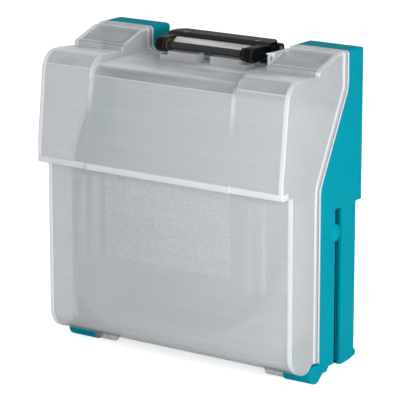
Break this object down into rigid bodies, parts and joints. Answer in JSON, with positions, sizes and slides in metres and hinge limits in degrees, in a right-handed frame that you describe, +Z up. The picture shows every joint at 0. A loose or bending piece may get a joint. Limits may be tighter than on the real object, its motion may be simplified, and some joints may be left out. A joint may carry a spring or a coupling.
{
  "type": "saw blade storage case",
  "caption": "Upright saw blade case: deep back shell, frosted hinged drop-front cover with hood, folding carry handle in a top recess, and a slotted blade tray inside.",
  "frame": {"origin": "on the floor under the middle of the closed case", "axes": "+Z up, -Y out of the cover's front, +X to the right seen from the front"},
  "size_m": [0.2904, 0.1362, 0.308],
  "materials": {
    "teal_plastic": "fine satin",
    "frosted_plastic": "frosted, translucent",
    "rack_grey": "matte",
    "seal": "matte",
    "black_plastic": "satin",
    "black_gloss": "semi-gloss",
    "bush_plastic": "satin",
    "catch_plastic": "satin",
    "steel": "zinc-plated"
  },
  "bodies": {
    "case": {"back_shell": "teal_plastic", "rim_seal": "seal", "liner_panel": "rack_grey", "liner_screws": "steel", "blade_tray": "rack_grey", "tray_screws": "steel", "hinge_pin_left": "steel", "hinge_pin_right": "steel", "bracket_left": "black_plastic", "bracket_right": "black_plastic", "bracket_screws": "steel", "pivot_rod": "steel"},
    "cover": {"cover_shell": "frosted_plastic", "padlock_tab": "frosted_plastic", "catch_left": "catch_plastic", "catch_right": "catch_plastic"},
    "handle": {"handle_frame": "black_plastic", "grip_bar": "black_gloss", "bar_bush_left": "bush_plastic", "bar_bush_right": "bush_plastic", "grip_insert": "catch_plastic", "insert_screws": "steel"}
  },
  "joints": [
    {"name": "cover_hinge", "type": "hinge", "parent": "case", "child": "cover", "pos_m": [0, -0.011, 0.009], "axis": [1, 0, 0], "range_deg": [0, 100]},
    {"name": "handle_hinge", "type": "hinge", "parent": "case", "child": "handle", "pos_m": [0, 0.048, 0.301], "axis": [-1, 0, 0], "range_deg": [0, 90]}
  ]
}
